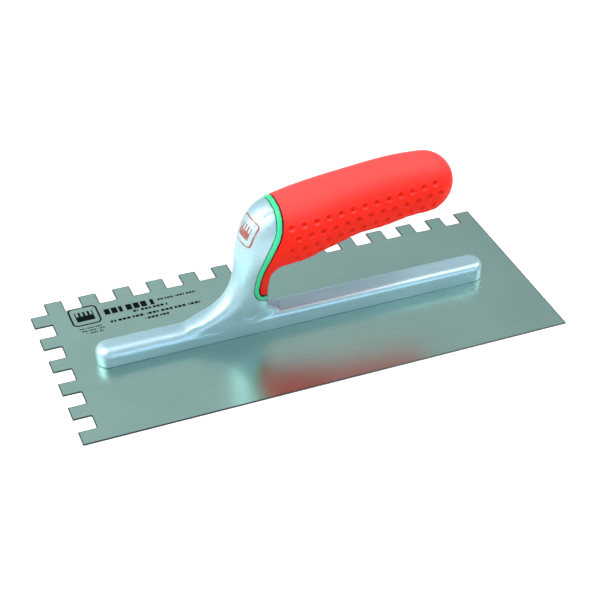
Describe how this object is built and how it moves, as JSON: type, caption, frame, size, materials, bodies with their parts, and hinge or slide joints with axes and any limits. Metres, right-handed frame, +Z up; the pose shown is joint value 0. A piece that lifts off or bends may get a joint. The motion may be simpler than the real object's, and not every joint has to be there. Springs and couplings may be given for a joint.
{
  "type": "notched trowel",
  "caption": "Notched trowel with a square-notched steel blade on a cast foot and neck, and a two-material grip over the blade.",
  "frame": {"origin": "centre of the blade's underside", "axes": "+X along the blade away from its notched short side, +Y across to its notched long side, +Z up from the blade to the handle"},
  "size_m": [0.28, 0.12, 0.0924],
  "materials": {
    "blade_steel": "cold-rolled stainless sheet, satin",
    "cast_aluminium": "die cast and bead blasted, fine grain",
    "core_plastic": "moulded plastic, satin",
    "skin_rubber": "soft moulded elastomer, smooth with dimpled sides",
    "stud_steel": "plain steel"
  },
  "bodies": {
    "root": {"blade": "blade_steel", "mounting_casting": "cast_aluminium", "grip_core": "core_plastic", "grip_skin": "skin_rubber", "weld_stud_1": "stud_steel", "weld_stud_2": "stud_steel", "weld_stud_3": "stud_steel", "weld_stud_4": "stud_steel", "weld_stud_5": "stud_steel", "weld_stud_6": "stud_steel", "weld_stud_7": "stud_steel", "weld_stud_8": "stud_steel", "weld_stud_9": "stud_steel"}
  },
  "joints": []
}
